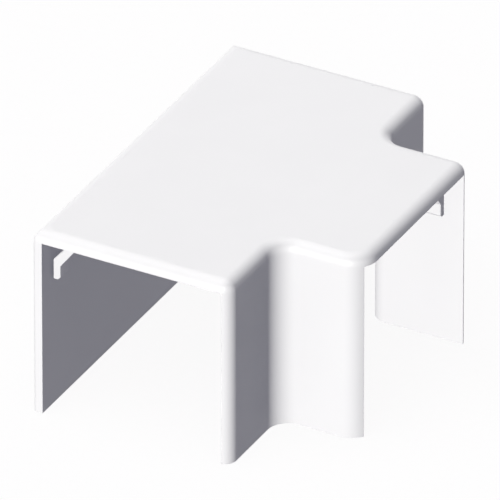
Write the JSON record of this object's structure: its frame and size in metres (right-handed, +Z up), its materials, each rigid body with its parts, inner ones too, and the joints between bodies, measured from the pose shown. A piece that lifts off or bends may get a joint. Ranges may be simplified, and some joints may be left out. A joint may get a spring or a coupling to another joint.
{
  "type": "trunking tee cover",
  "caption": "One-piece moulded tee cover for square cable trunking: a T-shaped plate with side walls, rounded outer edges, open ends and open bottom, and bent clip hooks inside.",
  "frame": {"origin": "middle of the bounding box, at the height of the walls' lower edges", "axes": "+Y along the straight run, +X towards the open end of the branch, +Z up through the top plate, away from the open bottom"},
  "size_m": [0.064, 0.0842, 0.0421],
  "materials": {
    "white_plastic": "satin white moulded plastic"
  },
  "bodies": {
    "root": {"tee_cover": "white_plastic"}
  },
  "joints": []
}
